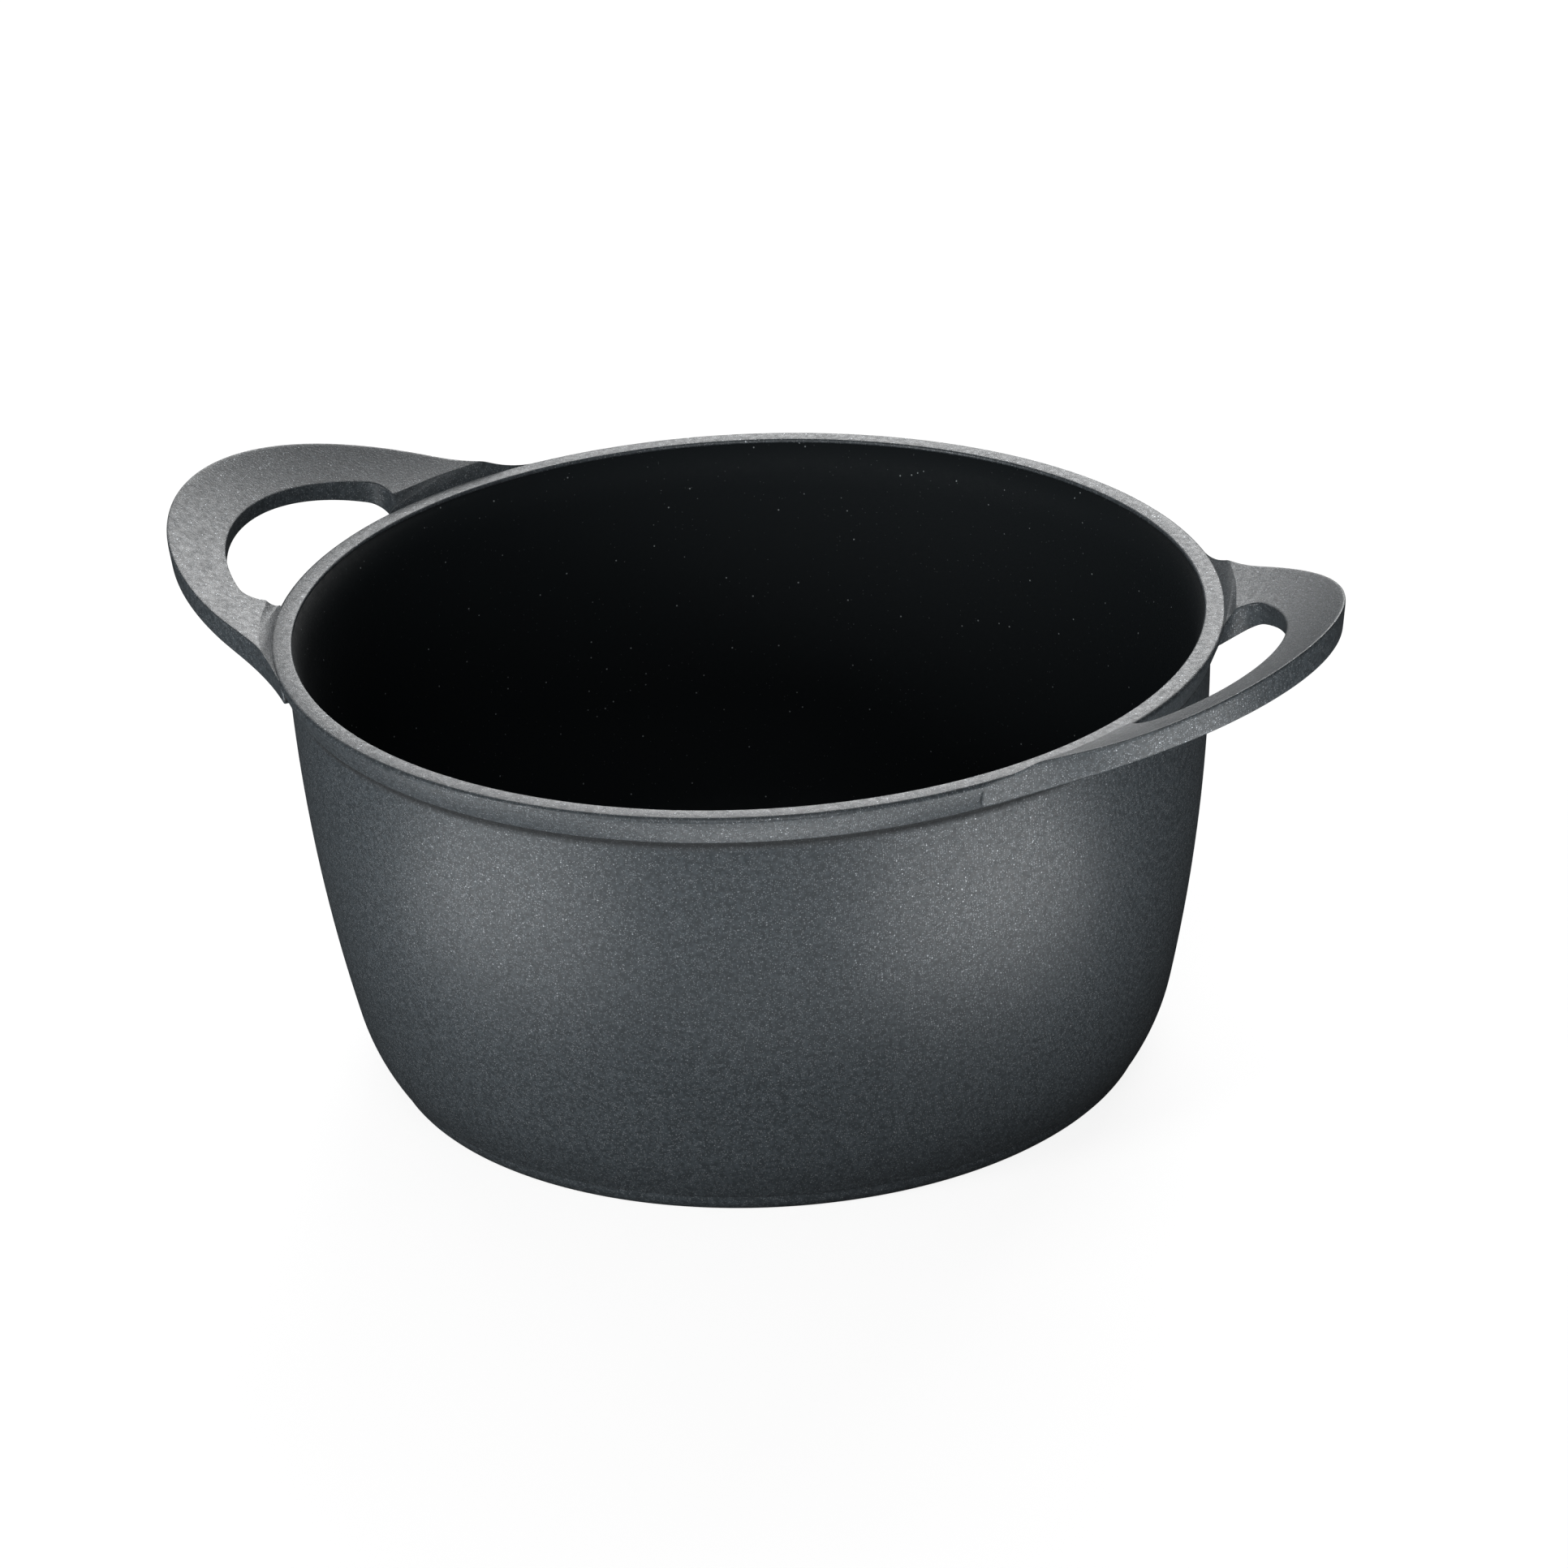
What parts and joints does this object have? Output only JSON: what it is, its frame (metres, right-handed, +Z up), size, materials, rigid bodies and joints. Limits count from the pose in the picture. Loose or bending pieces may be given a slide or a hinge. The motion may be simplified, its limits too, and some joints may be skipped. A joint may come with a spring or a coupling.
{
  "type": "dutch oven pot",
  "caption": "Lidless round cast iron dutch oven with rising loop handles, flecked grey enamel outside and black enamel inside.",
  "frame": {"origin": "centre of the flat base, on the table plane", "axes": "+Z up through the mouth of the pot, +X through one handle and -X through the other"},
  "size_m": [0.3112, 0.24, 0.1367],
  "materials": {
    "bare_iron": "ground flat and seasoned on the underside, hidden elsewhere",
    "flecked_enamel": "satin dark blue-grey with fine metallic flecks",
    "black_enamel": "matte black with sparse fine pale specks"
  },
  "bodies": {
    "root": {"pot_casting": "bare_iron", "exterior_enamel": "flecked_enamel", "interior_enamel": "black_enamel"}
  },
  "joints": []
}
